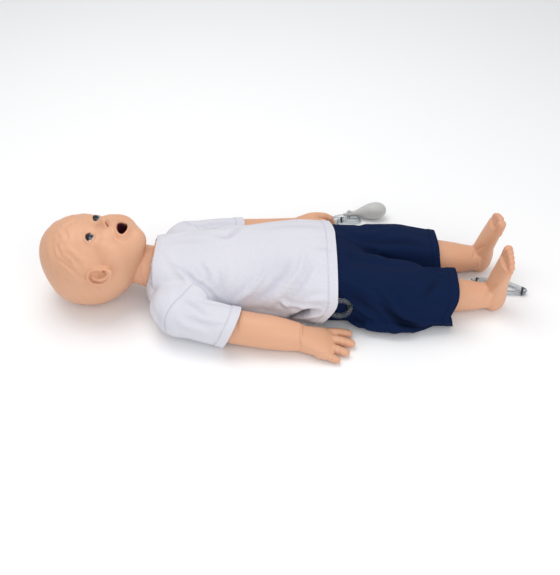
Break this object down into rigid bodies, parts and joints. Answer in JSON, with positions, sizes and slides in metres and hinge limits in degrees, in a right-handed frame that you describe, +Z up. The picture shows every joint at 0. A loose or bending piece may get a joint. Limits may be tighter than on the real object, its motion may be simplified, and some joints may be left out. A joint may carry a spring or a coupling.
{
  "type": "cpr training manikin",
  "caption": "Infant resuscitation manikin lying on its back in a T-shirt and shorts, with a tilting head, turning neck, sprung chest, swinging arms and legs, and a squeeze bulb on clear tubing.",
  "frame": {"origin": "on the floor, at the middle of the flat underside of the shirt's back", "axes": "+X from the crown of the head to the feet, -Y to the manikin's right side, +Z up from the floor"},
  "size_m": [0.7636, 0.3718, 0.1465],
  "materials": {
    "skin": "satin soft vinyl",
    "shirt_cloth": "matt knit",
    "shorts_cloth": "matt woven",
    "hard_shell": "moulded",
    "eyes": "gloss",
    "mouth_lining": "satin",
    "steel": "turned",
    "lung_film": "soft film",
    "airway_hose": "satin",
    "bulb_rubber": "satin",
    "fitting": "moulded",
    "clear_tube": "clear soft plastic",
    "tie": "moulded"
  },
  "bodies": {
    "torso": {"back_shell": "hard_shell", "chest_skin": "skin", "neck_plate": "hard_shell", "pelvis": "hard_shell", "hip_axle": "steel", "shoulder_bolts": "steel", "spring_seat": "hard_shell", "compression_spring": "steel", "tube_port_right": "fitting", "tube_port_left": "fitting", "shirt_body": "shirt_cloth", "shirt_collar": "shirt_cloth", "shorts_hip": "shorts_cloth", "squeeze_bulb": "bulb_rubber", "bulb_valve": "fitting", "bulb_tube": "clear_tube", "tube_hank": "clear_tube", "hank_tie": "tie", "pulse_tube_left": "clear_tube", "pulse_tube_right": "clear_tube", "waist_coil": "clear_tube", "waist_coil_tie": "tie", "drain_tube": "clear_tube", "foot_hank": "clear_tube", "foot_hank_ties": "tie"},
    "neck": {"neck_core": "hard_shell", "neck_lock_ring": "hard_shell", "neck_skin": "skin", "airway_tube": "airway_hose"},
    "head": {"head_skin": "skin", "skull_plate": "hard_shell", "mouth_liner": "mouth_lining", "eye_right": "eyes", "eye_left": "eyes"},
    "chest": {"breastbone_plate": "hard_shell", "lung_bag": "lung_film"},
    "right_arm": {"arm_right": "skin", "sleeve_right": "shirt_cloth"},
    "left_arm": {"arm_left": "skin", "sleeve_left": "shirt_cloth"},
    "right_leg": {"leg_right": "skin", "shorts_leg_right": "shorts_cloth"},
    "left_leg": {"leg_left": "skin", "shorts_leg_left": "shorts_cloth"}
  },
  "joints": [
    {"name": "neck_turn", "type": "hinge", "parent": "torso", "child": "neck", "pos_m": [-0.12, 0, 0.062], "axis": [1, 0, 0], "range_deg": [-60, 60], "deforming": ["airway_tube"]},
    {"name": "head_tilt", "type": "hinge", "parent": "neck", "child": "head", "pos_m": [-0.16, 0, 0.062], "axis": [0, -1, 0], "range_deg": [-8, 30], "deforming": ["neck_skin", "airway_tube"]},
    {"name": "chest_compression", "type": "slide", "parent": "torso", "child": "chest", "axis": [0, 0, -1], "range_m": [0, 0.038], "stiffness_N_per_m": 4000, "springref_m": -0.002, "deforming": ["compression_spring", "chest_skin", "shirt_body", "airway_tube"]},
    {"name": "right_shoulder", "type": "hinge", "parent": "torso", "child": "right_arm", "pos_m": [-0.092, -0.063, 0.041], "axis": [0, -1, 0], "range_deg": [-20, 160]},
    {"name": "left_shoulder", "type": "hinge", "parent": "torso", "child": "left_arm", "pos_m": [-0.092, 0.063, 0.041], "axis": [0, -1, 0], "range_deg": [-20, 160]},
    {"name": "right_hip", "type": "hinge", "parent": "torso", "child": "right_leg", "pos_m": [0.15, -0.0445, 0.043], "axis": [0, -1, 0], "range_deg": [-5, 45], "deforming": ["shorts_leg_right", "shorts_hip", "shirt_body"]},
    {"name": "left_hip", "type": "hinge", "parent": "torso", "child": "left_leg", "pos_m": [0.15, 0.0445, 0.043], "axis": [0, -1, 0], "range_deg": [-5, 45], "deforming": ["shorts_leg_left", "shorts_hip", "shirt_body"]}
  ]
}
